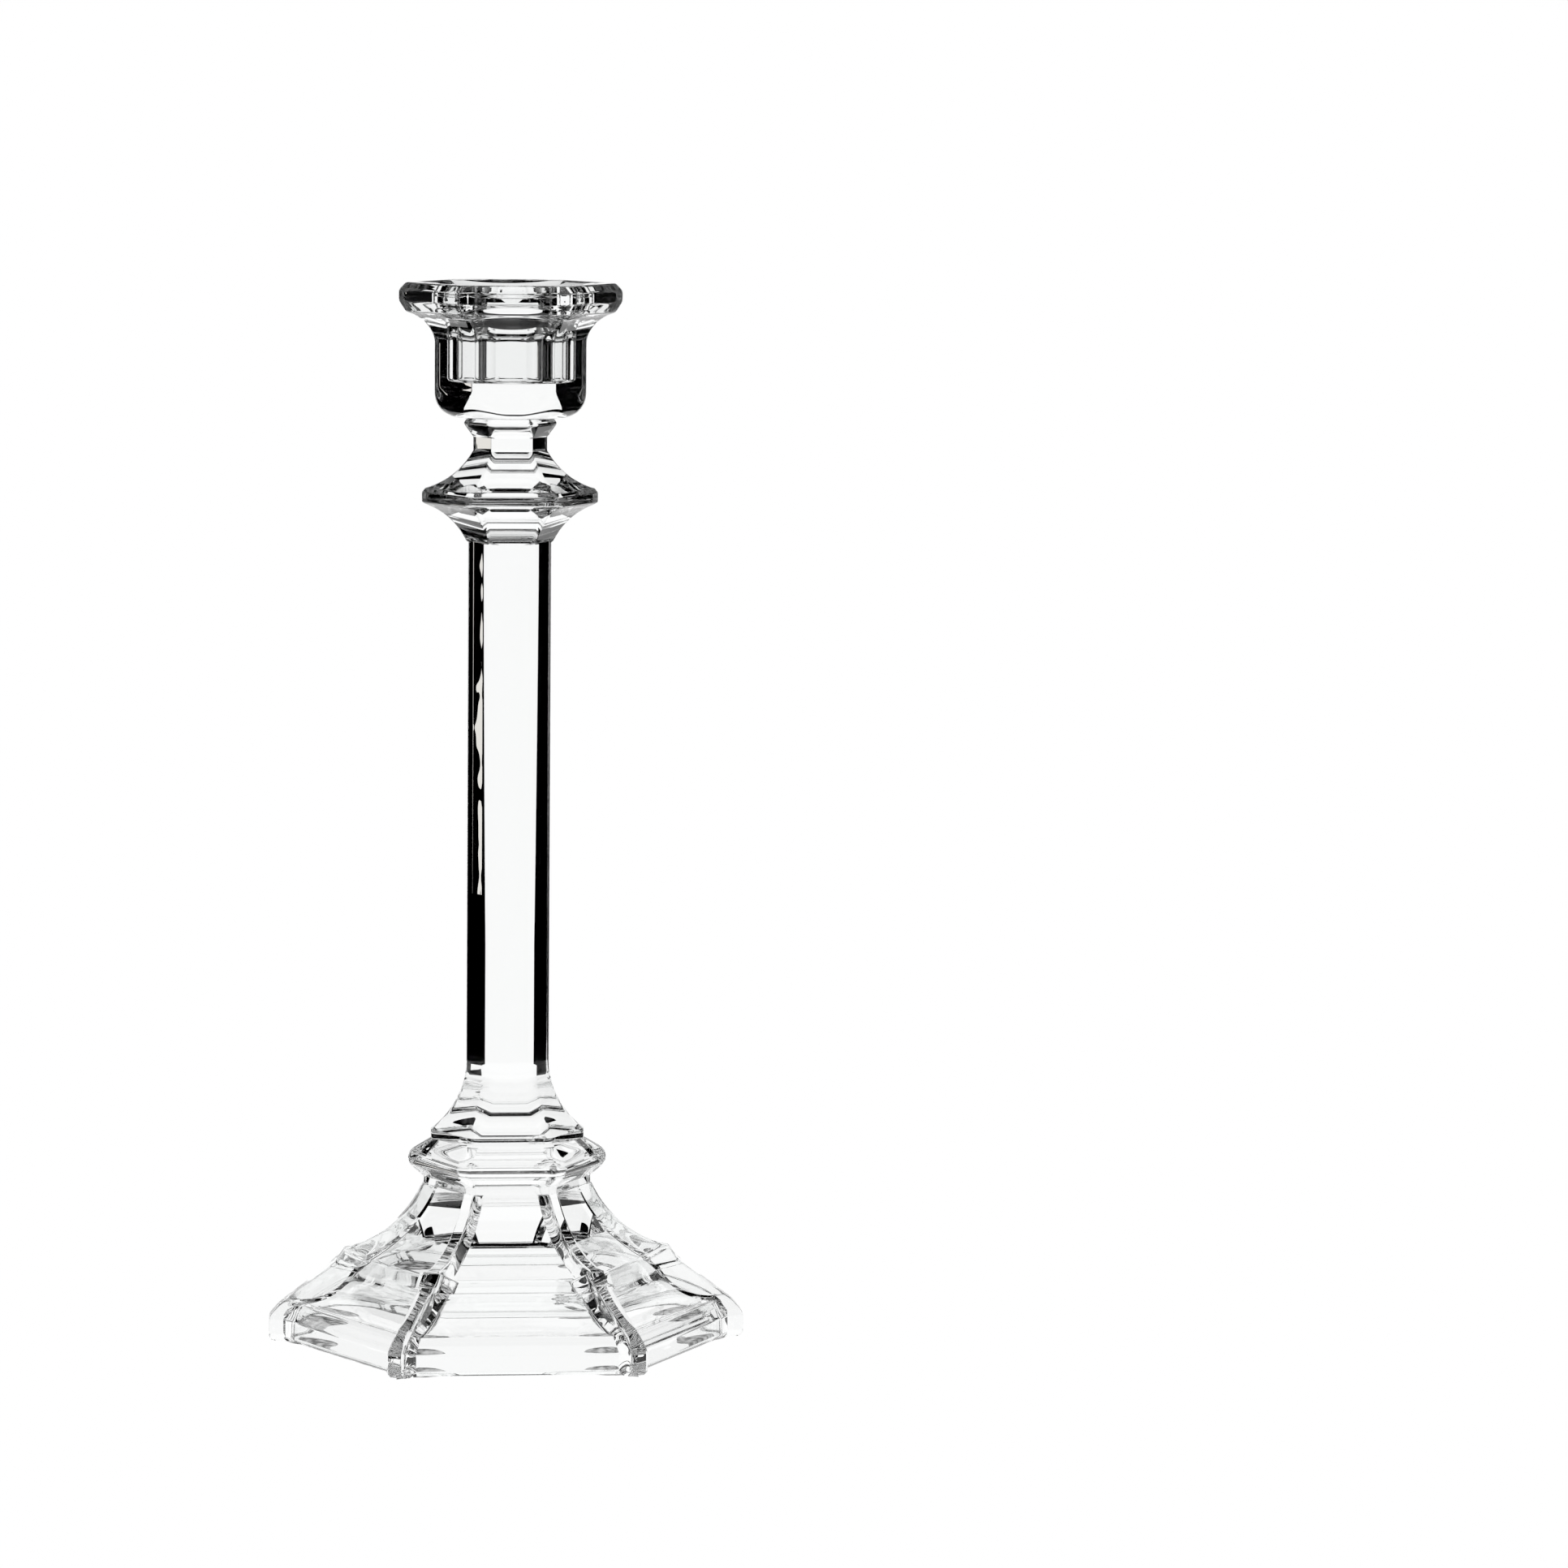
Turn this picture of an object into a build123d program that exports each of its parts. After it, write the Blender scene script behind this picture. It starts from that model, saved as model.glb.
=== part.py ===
from build123d import *
import os

# Hexagonal glass candlestick. The stick stands on the XY plane with its axis on +Z,
# two flats square to Y and two corners on X. Each section of the stick is a solid of
# its own, and the sections meet on flat, level faces where the hot glass is joined.

os.makedirs("parts", exist_ok=True)

# ---- heights of the sections, from the table up --------------------------------------
foot_height = 39.5
foot_knop_height = 9.3
stem_height = 143.5
stem_knop_height = 21.9
neck_height = 3.2
wafer_height = 4.7
cup_height = 31.9

# ---- radii across the corners at the level joints ------------------------------------
foot_top_radius = 20.1
stem_skirt_radius = 18.4
stem_radius = 9.9
neck_radius = 8.8
wafer_top_radius = 9.9

# ---- distance to the flats over distance to the blunt corners ------------------------
stem_flat_share = 0.93
knop_flat_share = 0.885
neck_flat_share = 0.89
cup_flat_share = 0.885

# ---- foot: the six ribs ----------------------------------------------------------------
rib_radius = 57.2            # outer face of a rib at the rim
rib_width_rim = 4.4
rib_width_tier = 3.9         # at the top of the lower tier
rib_width_riser = 6.2        # wider block at the step
rib_width_sweep = 2.8        # at the foot of the upper sweep
rib_width_top = 2.3
rib_band_height = 6.4        # upright part of a rib at the rim
rib_toe_bevel = 1.2
rib_shoulder_run = 2.6       # rounded shoulder above the upright part
rib_shoulder_rise = 2.4
rib_step_radius = 41.4       # rib at the step between the two tiers
rib_step_height = 19.0
rib_step_rise = 3.0
rib_step_inset = 2.0
rib_riser_lip = 0.8          # how far the wider block reaches below the step
rib_upper_sag = 2.85         # depth of the upper sweep of a rib below its chord

# ---- foot: the coved panels between the ribs, as distances from the axis to a flat -----
band_flat = 47.8             # plain band around the rim
band_height = 5.2
shelf_flat = 45.2            # outer edge of the lower cove
shelf_height = 8.8
ledge_flat = 32.9            # inner edge of the lower cove
ledge_height = 17.0
upper_shelf_flat = 30.8      # outer edge of the upper cove
upper_shelf_height = 19.4
throat_flat = 15.6           # inner edge of the upper cove
collar_height = 1.8          # plain collar above the upper coves
lower_cove_sag = 2.4
upper_cove_sag = 2.4

# ---- foot: the hollow underneath -------------------------------------------------------
hollow_mouth_flat = 42.8
hollow_wall_height = 6.6     # nearly upright wall behind the rim band
hollow_wall_lean = 0.5
hollow_top_flat = 20.3       # flat ceiling
hollow_depth = 24.8
hollow_sag = 1.2

# ---- knops and the flared end of the stem ----------------------------------------------
foot_knop_radius = 23.8
skirt_height = 2.2           # upright edge below the flare of the stem
flare_height = 19.0
stem_knop_radius = 21.0
knop_band_middle = 10.75     # level of the knop's upright band above its base
knop_band_height = 2.3
knop_bevel_rise = 1.3
knop_bevel_inset = 1.1
knop_lower_sag = 1.5
knop_upper_sag = 1.6

# ---- wafer -----------------------------------------------------------------------------
wafer_radius = 11.0
wafer_edge_level = 3.1       # widest level above its base

# ---- candle cup ------------------------------------------------------------------------
cup_radius = 18.05
cup_floor_radius = 13.4      # flat underside
bowl_height = 6.4            # rounded part under the upright wall
bowl_bulge = 1.5
lip_height = 13.2            # flare and rim together
rim_radius = 26.6
rim_height = 6.2
rim_round = 1.7
lip_sag = 1.7
candle_radius = 11.1         # taper candle of seven eighths of an inch
candle_clearance = 0.15
socket_floor = 8.4           # glass left under the socket
dish_radius = 20.4           # shallow wax dish in the top of the rim
dish_depth = 2.4

# ---- levels and fits that follow from the sizes above ----------------------------------
foot_knop_base = foot_height
stem_base = foot_knop_base + foot_knop_height
stem_knop_base = stem_base + stem_height
neck_base = stem_knop_base + stem_knop_height
wafer_base = neck_base + neck_height
cup_base = wafer_base + wafer_height
cup_top = cup_base + cup_height
socket_radius = candle_radius + candle_clearance
rim_base = cup_top - rim_height

CORNER_TURNS = (0, 60, 120)
FLAT_TURNS = (30, 90, 150)


def bowed(start, end, sag):
    """Draw an arc from start to end, bowed by sag to the right of the way it runs."""
    run = Vector(*end) - Vector(*start)
    side = Vector(run.Y, -run.X).normalized() * sag
    middle = (Vector(*start) + Vector(*end)) * 0.5 + side
    ThreePointArc(start, middle, end)


def plate(outline, share, turn, thickness, mode):
    """Cut an upright plate through the axis to an outline with its radii times share."""
    with BuildSketch(Plane.XZ.rotated((0, 0, turn))) as section:
        with BuildLine():
            outline(share)
        make_face()
        mirror(about=Plane.YZ)
    extrude(section.sketch, amount=thickness / 2, both=True, mode=mode)


def six_sided(outline, flat_share, width):
    """Make a six-sided solid whose corners follow the outline, and its flats a share of it."""
    mode = Mode.ADD
    for turn in CORNER_TURNS:
        plate(outline, 1, turn, width, mode)
        mode = Mode.INTERSECT
    for turn in FLAT_TURNS:
        plate(outline, flat_share, turn, width, mode)


# ---- foot ------------------------------------------------------------------------------
def rib_outline(share):
    """Edge of a rib: upright at the rim, a straight lower tier, a step and a swept upper tier."""
    rim = rib_radius * share
    step = rib_step_radius * share
    tread = step - rib_step_inset
    tread_height = rib_step_height + rib_step_rise
    top = foot_top_radius * share
    shoulder = (rim - rib_shoulder_run, rib_band_height + rib_shoulder_rise)
    Polyline((0, 0), (rim - rib_toe_bevel, 0), (rim, rib_toe_bevel), (rim, rib_band_height))
    bowed((rim, rib_band_height), shoulder, rib_toe_bevel / 2)
    Line(shoulder, (step, rib_step_height))
    bowed((step, rib_step_height), (tread, tread_height), rib_step_inset / 4)
    bowed((tread, tread_height), (top, foot_height), -rib_upper_sag)
    Polyline((top, foot_height), (0, foot_height), (0, 0))


def panel_outline(share):
    """Edge of the panels: a plain band, a lower cove, a ledge, an upper cove and a collar."""
    band = band_flat * share
    shelf = (shelf_flat * share, shelf_height)
    ledge = (ledge_flat * share, ledge_height)
    upper_shelf = (upper_shelf_flat * share, upper_shelf_height)
    throat = (throat_flat * share, foot_height - collar_height)
    collar = foot_top_radius * knop_flat_share * share
    Polyline((0, 0), (band, 0), (band, band_height), shelf)
    bowed(shelf, ledge, -lower_cove_sag)
    Line(ledge, upper_shelf)
    bowed(upper_shelf, throat, -upper_cove_sag)
    Polyline(throat, (collar, throat[1]), (collar, foot_height), (0, foot_height), (0, 0))


def hollow_outline(share):
    """Edge of the hollow pressed into the underside, from its mouth up to its flat ceiling."""
    mouth = (hollow_mouth_flat * share, 0)
    wall_top = ((hollow_mouth_flat - hollow_wall_lean) * share, hollow_wall_height)
    crown = (hollow_top_flat * share, hollow_depth)
    Polyline((0, 0), mouth, wall_top)
    bowed(wall_top, crown, -hollow_sag)
    Polyline(crown, (0, hollow_depth), (0, 0))


def rib_width_outline(share):
    """Edge view of a rib: it narrows on its way up, apart from a wider block at the step."""
    rim = rib_width_rim / 2 * share
    tier = rib_width_tier / 2 * share
    riser = rib_width_riser / 2 * share
    sweep = rib_width_sweep / 2 * share
    top = rib_width_top / 2 * share
    lip = rib_step_height - rib_riser_lip
    tread = rib_step_height + rib_step_rise
    Polyline((0, 0), (rim, 0), (rim, rib_band_height), (tier, lip), (riser, lip), (riser, tread))
    Polyline((riser, tread), (sweep, tread), (top, foot_height), (0, foot_height), (0, 0))


with BuildPart() as panels:
    mode = Mode.ADD
    for turn in FLAT_TURNS:
        plate(panel_outline, 1, turn, 3 * rib_radius, mode)
        mode = Mode.INTERSECT

rib_pairs = []
for turn in CORNER_TURNS:
    with BuildPart() as rib_pair:
        plate(rib_outline, 1, turn, rib_radius, Mode.ADD)
        plate(rib_width_outline, 1, turn + 90, 3 * rib_radius, Mode.INTERSECT)
    rib_pairs.append(rib_pair.part)

with BuildPart() as hollow:
    mode = Mode.ADD
    for turn in FLAT_TURNS:
        plate(hollow_outline, 1, turn, 3 * rib_radius, mode)
        mode = Mode.INTERSECT

with BuildPart() as foot:
    add(panels.part)
    add(rib_pairs)
    add(hollow.part, mode=Mode.SUBTRACT)
foot.part.label = "foot"
export_step(foot.part, "parts/foot.step")


# ---- lower knop ------------------------------------------------------------------------
def foot_knop_outline(share):
    """Edge of the ring between foot and stem: one round bead."""
    base = (foot_top_radius * share, foot_knop_base)
    middle = (foot_knop_radius * share, foot_knop_base + foot_knop_height / 2)
    top = (stem_skirt_radius * share, stem_base)
    Line((0, foot_knop_base), base)
    ThreePointArc(base, middle, top)
    Polyline(top, (0, stem_base), (0, foot_knop_base))


with BuildPart() as foot_knop:
    six_sided(foot_knop_outline, knop_flat_share, 3 * foot_knop_radius)
foot_knop.part.label = "foot_knop"
export_step(foot_knop.part, "parts/foot_knop.step")


# ---- stem ------------------------------------------------------------------------------
def stem_outline(share):
    """Edge of the stem: a short skirt, a flare that runs out upright, a straight column."""
    skirt = (stem_skirt_radius * share, stem_base)
    flare_start = (stem_skirt_radius * share, stem_base + skirt_height)
    flare_end = (stem_radius * share, stem_base + flare_height)
    top = (stem_radius * share, stem_knop_base)
    Polyline((0, stem_base), skirt, flare_start)
    TangentArc(flare_end, flare_start, tangent=(0, -1))
    Polyline(flare_end, top, (0, stem_knop_base), (0, stem_base))


with BuildPart() as stem:
    six_sided(stem_outline, stem_flat_share, 3 * stem_skirt_radius)
stem.part.label = "stem"
export_step(stem.part, "parts/stem.step")


# ---- upper knop ------------------------------------------------------------------------
def stem_knop_outline(share):
    """Edge of the upper knop: two coves that meet at a bevelled upright band."""
    band = stem_knop_radius * share
    band_base = stem_knop_base + knop_band_middle - knop_band_height / 2
    band_top = band_base + knop_band_height
    base = (stem_radius * share, stem_knop_base)
    lower_edge = (band - knop_bevel_inset, band_base - knop_bevel_rise)
    upper_edge = (band - knop_bevel_inset, band_top + knop_bevel_rise)
    top = (neck_radius * share, neck_base)
    Line((0, stem_knop_base), base)
    bowed(base, lower_edge, -knop_lower_sag)
    Polyline(lower_edge, (band, band_base), (band, band_top), upper_edge)
    bowed(upper_edge, top, -knop_upper_sag)
    Polyline(top, (0, neck_base), (0, stem_knop_base))


with BuildPart() as stem_knop:
    six_sided(stem_knop_outline, knop_flat_share, 3 * stem_knop_radius)
stem_knop.part.label = "stem_knop"
export_step(stem_knop.part, "parts/stem_knop.step")


# ---- neck ------------------------------------------------------------------------------
def neck_outline(share):
    """Edge of the short straight neck."""
    side = neck_radius * share
    Polyline((0, neck_base), (side, neck_base), (side, wafer_base), (0, wafer_base), (0, neck_base))


with BuildPart() as neck:
    six_sided(neck_outline, neck_flat_share, 3 * neck_radius)
neck.part.label = "neck"
export_step(neck.part, "parts/neck.step")


# ---- wafer -----------------------------------------------------------------------------
def wafer_outline(share):
    """Edge of the wafer that carries the cup: widest near its top."""
    base = (neck_radius * share, wafer_base)
    edge = (wafer_radius * share, wafer_base + wafer_edge_level)
    top = (wafer_top_radius * share, cup_base)
    Polyline((0, wafer_base), base, edge, top, (0, cup_base), (0, wafer_base))


with BuildPart() as wafer:
    six_sided(wafer_outline, neck_flat_share, 3 * wafer_radius)
wafer.part.label = "wafer"
export_step(wafer.part, "parts/wafer.step")


# ---- candle cup ------------------------------------------------------------------------
def cup_outline(share):
    """Edge of the cup: rounded bowl, upright wall, flare and a thick upright rim."""
    underside = (cup_floor_radius * share, cup_base)
    wall_base = (cup_radius * share, cup_base + bowl_height)
    wall_top = (cup_radius * share, cup_top - lip_height)
    rim = rim_radius * share
    rim_start = (rim - rim_round, rim_base)
    Line((0, cup_base), underside)
    bowed(underside, wall_base, bowl_bulge)
    Line(wall_base, wall_top)
    bowed(wall_top, rim_start, -lip_sag)
    Polyline(rim_start, (rim, rim_base + rim_round), (rim, cup_top - rim_round))
    Polyline((rim, cup_top - rim_round), (rim - rim_round, cup_top), (0, cup_top), (0, cup_base))


with BuildPart() as candle_cup:
    six_sided(cup_outline, cup_flat_share, 3 * rim_radius)
    with BuildSketch(Plane.XZ) as socket_and_dish:
        with BuildLine():
            Polyline(
                (0, cup_base + socket_floor),
                (socket_radius, cup_base + socket_floor),
                (socket_radius, cup_top - dish_depth),
                (dish_radius, cup_top),
                (0, cup_top),
                close=True,
            )
        make_face()
    revolve(axis=Axis.Z, mode=Mode.SUBTRACT)
candle_cup.part.label = "candle_cup"
export_step(candle_cup.part, "parts/candle_cup.step")
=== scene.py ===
"""Six-sided pressed glass candlestick: the visible glass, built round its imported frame."""

import logging
import math
from dataclasses import dataclass, field
from enum import Enum

import bpy
from mathutils import Matrix, Vector


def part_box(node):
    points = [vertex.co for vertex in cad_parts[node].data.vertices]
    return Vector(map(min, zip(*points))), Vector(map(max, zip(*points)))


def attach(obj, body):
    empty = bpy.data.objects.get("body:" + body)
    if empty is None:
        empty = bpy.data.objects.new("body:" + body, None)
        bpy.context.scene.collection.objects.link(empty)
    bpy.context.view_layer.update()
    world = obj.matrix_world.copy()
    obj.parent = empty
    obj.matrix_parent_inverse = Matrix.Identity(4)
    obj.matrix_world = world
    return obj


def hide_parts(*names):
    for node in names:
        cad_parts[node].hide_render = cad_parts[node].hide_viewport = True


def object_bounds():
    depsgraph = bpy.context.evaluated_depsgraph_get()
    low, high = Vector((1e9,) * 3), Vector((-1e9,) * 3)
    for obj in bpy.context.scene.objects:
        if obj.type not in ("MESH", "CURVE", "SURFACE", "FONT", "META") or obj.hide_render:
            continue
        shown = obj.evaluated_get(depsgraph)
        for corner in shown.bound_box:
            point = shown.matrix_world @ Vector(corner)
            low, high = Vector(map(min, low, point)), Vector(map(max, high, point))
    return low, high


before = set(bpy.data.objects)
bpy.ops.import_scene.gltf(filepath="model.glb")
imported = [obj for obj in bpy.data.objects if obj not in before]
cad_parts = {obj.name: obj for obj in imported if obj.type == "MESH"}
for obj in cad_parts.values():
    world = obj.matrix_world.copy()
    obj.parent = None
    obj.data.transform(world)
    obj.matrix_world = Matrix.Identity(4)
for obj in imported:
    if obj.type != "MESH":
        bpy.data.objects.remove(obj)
CAD_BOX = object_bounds()

LOG = logging.getLogger("candlestick")
BODY = "root"

MM = 0.001
SIDES = 6
HALF_SIDE = math.radians(30.0)
SHARP_SHARE = math.cos(HALF_SIDE)
CREASE = math.radians(32.0)
WELD = 2e-6
BLEND_LIMIT = 0.48  # the largest part of a run that the rounding at one end may take
COLUMN_BANDS = ((6.0, 0.6), (15.0, 1.125), (30.0, 2.5))  # degrees from a corner, and the step


# ---- outlines ---------------------------------------------------------------------------
@dataclass(frozen=True)
class Knot:
    """A corner of an outline, in millimetres, with how the outline leaves it.

    reach is the distance from the axis, to a corner of the hexagon or to one of its flats,
    and share is the distance to the flats over the distance to the blunt corners. blend
    rounds the knot off, and bow is how far the run to the next knot swells to the right of
    its direction. That run has as many steps as steps says, and joint marks its faces as fused.
    """

    reach: float
    level: float
    share: float = 1.0
    blend: float = 0.0
    bow: float = 0.0
    steps: int = 6
    joint: bool = False


@dataclass(frozen=True)
class Station:
    """A place on an outline: reach and level in millimetres, share, and fused face or not."""

    reach: float
    level: float
    share: float
    joint: bool


def along(start: Knot, end: Knot, t: float) -> tuple[float, float, float]:
    """Find a place on the run between two knots.

    Args:
        start: Knot that the run leaves.
        end: Knot that it reaches.
        t: Part of the way along, from 0 to 1.

    Returns:
        Reach, level and share there.
    """
    run, rise = end.reach - start.reach, end.level - start.level
    length = math.hypot(run, rise) or 1.0
    swell = 4.0 * start.bow * t * (1.0 - t) / length
    return (
        start.reach + run * t + rise * swell,
        start.level + rise * t - run * swell,
        start.share + (end.share - start.share) * t,
    )


def sample(knots: list[Knot], arc_steps: int = 5) -> list[Station]:
    """Turn knots into close stations, with every blended knot rounded off.

    Args:
        knots: The outline's knots in order.
        arc_steps: Steps in the rounding of a knot.

    Returns:
        The stations. Two outlines of equally many knots with alike steps and blends match.
    """
    stations = []
    last = len(knots) - 1
    for index in range(last):
        start, end = knots[index], knots[index + 1]
        length = math.hypot(end.reach - start.reach, end.level - start.level) or 1.0
        low = min(start.blend / length, BLEND_LIMIT) if index else 0.0
        high = 1.0 - (min(end.blend / length, BLEND_LIMIT) if index + 1 < last else 0.0)
        for step in range(start.steps + 1):
            place = along(start, end, low + (high - low) * step / start.steps)
            stations.append(Station(*place, start.joint))
        if index + 1 == last or not end.blend:
            if index + 1 < last:
                stations.pop()
            continue
        following = knots[index + 2]
        ahead = math.hypot(following.reach - end.reach, following.level - end.level) or 1.0
        leave = along(start, end, high)
        enter = along(end, following, min(end.blend / ahead, BLEND_LIMIT))
        for step in range(1, arc_steps):
            t = step / arc_steps
            turn = [
                a * (1 - t) ** 2 + b * 2 * t * (1 - t) + c * t * t
                for a, b, c in zip(leave, (end.reach, end.level, end.share), enter)
            ]
            stations.append(Station(*turn, end.joint))
    return stations


def columns() -> list[float]:
    """Give the angles across one side, from corner to corner, closest together at the corners.

    Returns:
        Angles from the flat's own direction in radians, from -30 to +30 degrees.
    """
    middle = COLUMN_BANDS[-1][0]
    half, angle, tolerance = [], 0.0, 1e-6
    for limit, step in COLUMN_BANDS:
        while angle < limit - tolerance:
            half.append(angle)
            angle += step
    half.append(middle)
    ahead = [math.radians(middle - a) for a in half]
    return [-a for a in ahead[:-1]] + [0.0] + ahead[-2::-1]


def blunt_radius(reach: float, share: float, theta: float) -> float:
    """Distance from the axis to a hexagon whose corners are rounded off.

    Args:
        reach: Distance to the corners.
        share: Distance to the flats over distance to the corners.
        theta: Angle from the flat's own direction, in radians.

    Returns:
        The distance at that angle.
    """
    rounding = reach * (share - SHARP_SHARE) / (1.0 - SHARP_SHARE)
    centre = reach - rounding
    alpha = HALF_SIDE - abs(theta)
    if alpha < math.atan2(rounding / 2.0, centre + rounding * SHARP_SHARE):
        inner = max(rounding**2 - (centre * math.sin(alpha)) ** 2, 0.0)
        return centre * math.cos(alpha) + math.sqrt(inner)
    return share * reach / math.cos(theta)


# ---- meshes -----------------------------------------------------------------------------
@dataclass
class Sheet:
    """Rows of points across one side of the stick, from which its sixth is made."""

    rows: list[list[tuple[float, float, float]]]
    shares: list[float]
    joints: list[bool]

    def mesh(self, name: str) -> bpy.types.Mesh:
        """Make the sheet's mesh, with its shares and joint faces as attributes.

        Args:
            name: Name of the mesh.

        Returns:
            The mesh, whose faces point outwards when the rows run up the outside.
        """
        width = len(self.rows[0])
        points = [p for row in self.rows for p in row]
        faces, flags = [], []
        for r in range(len(self.rows) - 1):
            for c in range(width - 1):
                at = r * width + c
                faces.append((at, at + 1, at + 1 + width, at + width))
                flags.append(self.joints[r])
        mesh = bpy.data.meshes.new(name)
        mesh.from_pydata(points, [], faces)
        share = mesh.attributes.new("share", "FLOAT", "POINT")
        share.data.foreach_set("value", [s for s in self.shares for _ in range(width)])
        joint = mesh.attributes.new("joint", "BOOLEAN", "FACE")
        joint.data.foreach_set("value", flags)
        return mesh


class Shaping(Enum):
    """How the tree finds a sixth's shape."""

    READY = "the sheet already has its shape"
    BLUNT_HEXAGON = "the sheet holds angle, reach and level, and the rule bends it round"


@dataclass
class SixthTree:
    """Geometry Nodes tree that shapes one side of the stick and repeats it round the axis."""

    shaping: Shaping
    tree: bpy.types.NodeTree | None = field(default=None, init=False)

    def socket(self, name: str, kind: str, default: float | None = None) -> None:
        """Add a named input to the tree."""
        made = self.tree.interface.new_socket(name, in_out="INPUT", socket_type=kind)
        if default is not None:
            made.default_value = default

    def node(self, kind: str, **settings: object) -> bpy.types.Node:
        """Add a node and set what is given by name."""
        made = self.tree.nodes.new(kind)
        for key, value in settings.items():
            setattr(made, key, value)
        return made

    def feed(self, socket: bpy.types.NodeSocket, source: object) -> None:
        """Link a source socket, or set a plain number."""
        if isinstance(source, bpy.types.NodeSocket):
            self.tree.links.new(source, socket)
        else:
            socket.default_value = source

    def maths(self, operation: str, first: object, second: object = 0.0) -> bpy.types.NodeSocket:
        """Add a Math node on two sockets or numbers.

        Args:
            operation: Name of the operation.
            first: Socket or number.
            second: Socket or number.

        Returns:
            The node's result.
        """
        made = self.node("ShaderNodeMath", operation=operation)
        self.feed(made.inputs[0], first)
        self.feed(made.inputs[1], second)
        return made.outputs[0]

    def build(self) -> bpy.types.NodeTree:
        """Build the tree.

        Returns:
            The tree, with inputs Sides, Weld, Glass and Joint.
        """
        name = f"repeat_side_{self.shaping.name.lower()}"
        self.tree = bpy.data.node_groups.new(name, "GeometryNodeTree")
        self.socket("Geometry", "NodeSocketGeometry")
        self.socket("Sides", "NodeSocketInt", SIDES)
        self.socket("Weld", "NodeSocketFloat", WELD)
        self.socket("Glass", "NodeSocketMaterial")
        self.socket("Joint", "NodeSocketMaterial")
        self.tree.interface.new_socket(
            "Geometry", in_out="OUTPUT", socket_type="NodeSocketGeometry"
        )
        given = self.node("NodeGroupInput").outputs
        side = given["Geometry"]
        if self.shaping is Shaping.BLUNT_HEXAGON:
            side = self.bend_round(side)
        places = self.node("GeometryNodePoints")
        self.feed(places.inputs["Count"], given["Sides"])
        turn = self.maths("MULTIPLY", self.node("GeometryNodeInputIndex").outputs[0], math.tau)
        turn = self.maths("DIVIDE", turn, given["Sides"])
        euler = self.node("ShaderNodeCombineXYZ")
        self.feed(euler.inputs["Z"], turn)
        rotation = self.node("FunctionNodeEulerToRotation")
        self.feed(rotation.inputs[0], euler.outputs[0])
        repeat = self.node("GeometryNodeInstanceOnPoints")
        self.feed(repeat.inputs["Points"], places.outputs[0])
        self.feed(repeat.inputs["Instance"], side)
        self.feed(repeat.inputs["Rotation"], rotation.outputs[0])
        whole = self.node("GeometryNodeRealizeInstances")
        self.feed(whole.inputs[0], repeat.outputs[0])
        weld = self.node("GeometryNodeMergeByDistance")
        self.feed(weld.inputs["Geometry"], whole.outputs[0])
        self.feed(weld.inputs["Distance"], given["Weld"])
        dressed = self.node("GeometryNodeSetMaterial")
        self.feed(dressed.inputs["Geometry"], weld.outputs[0])
        self.feed(dressed.inputs["Material"], given["Glass"])
        flagged = self.node("GeometryNodeInputNamedAttribute", data_type="BOOLEAN")
        flagged.inputs["Name"].default_value = "joint"
        joined = self.node("GeometryNodeSetMaterial")
        self.feed(joined.inputs["Geometry"], dressed.outputs[0])
        self.feed(joined.inputs["Selection"], flagged.outputs["Attribute"])
        self.feed(joined.inputs["Material"], given["Joint"])
        self.feed(self.node("NodeGroupOutput").inputs[0], joined.outputs[0])
        return self.tree

    def bend_round(self, side: bpy.types.NodeSocket) -> bpy.types.NodeSocket:
        """Add the blunt hexagon's rule, which places angle, reach and level about the axis.

        Args:
            side: The sheet, with x the angle, y the reach and z the level.

        Returns:
            The side in its place.
        """
        split = self.node("ShaderNodeSeparateXYZ")
        self.feed(split.inputs[0], self.node("GeometryNodeInputPosition").outputs[0])
        theta, reach, level = split.outputs[:3]
        share = self.node("GeometryNodeInputNamedAttribute", data_type="FLOAT")
        share.inputs["Name"].default_value = "share"
        share = share.outputs["Attribute"]
        excess = self.maths("SUBTRACT", share, SHARP_SHARE)
        rounding = self.maths("MULTIPLY", reach, excess)
        rounding = self.maths("DIVIDE", rounding, 1.0 - SHARP_SHARE)
        centre = self.maths("SUBTRACT", reach, rounding)
        alpha = self.maths("SUBTRACT", HALF_SIDE, self.maths("ABSOLUTE", theta))
        toward = self.maths("ADD", centre, self.maths("MULTIPLY", rounding, SHARP_SHARE))
        tangent = self.maths("ARCTAN2", self.maths("MULTIPLY", rounding, 0.5), toward)
        aside = self.maths("MULTIPLY", centre, self.maths("SINE", alpha))
        inner = self.maths("MULTIPLY", rounding, rounding)
        inner = self.maths("SUBTRACT", inner, self.maths("MULTIPLY", aside, aside))
        inner = self.maths("SQRT", self.maths("MAXIMUM", inner, 0.0))
        arc = self.maths("MULTIPLY", centre, self.maths("COSINE", alpha))
        arc = self.maths("ADD", arc, inner)
        flat = self.maths("MULTIPLY", share, reach)
        flat = self.maths("DIVIDE", flat, self.maths("COSINE", theta))
        pick = self.node("GeometryNodeSwitch", input_type="FLOAT")
        self.feed(pick.inputs["Switch"], self.maths("LESS_THAN", alpha, tangent))
        self.feed(pick.inputs["False"], flat)
        self.feed(pick.inputs["True"], arc)
        radius = pick.outputs[0]
        azimuth = self.maths("ADD", theta, HALF_SIDE)
        place = self.node("ShaderNodeCombineXYZ")
        self.feed(place.inputs["X"], self.maths("MULTIPLY", radius, self.maths("COSINE", azimuth)))
        self.feed(place.inputs["Y"], self.maths("MULTIPLY", radius, self.maths("SINE", azimuth)))
        self.feed(place.inputs["Z"], level)
        moved = self.node("GeometryNodeSetPosition")
        self.feed(moved.inputs["Geometry"], side)
        self.feed(moved.inputs["Position"], place.outputs[0])
        return moved.outputs[0]


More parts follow.
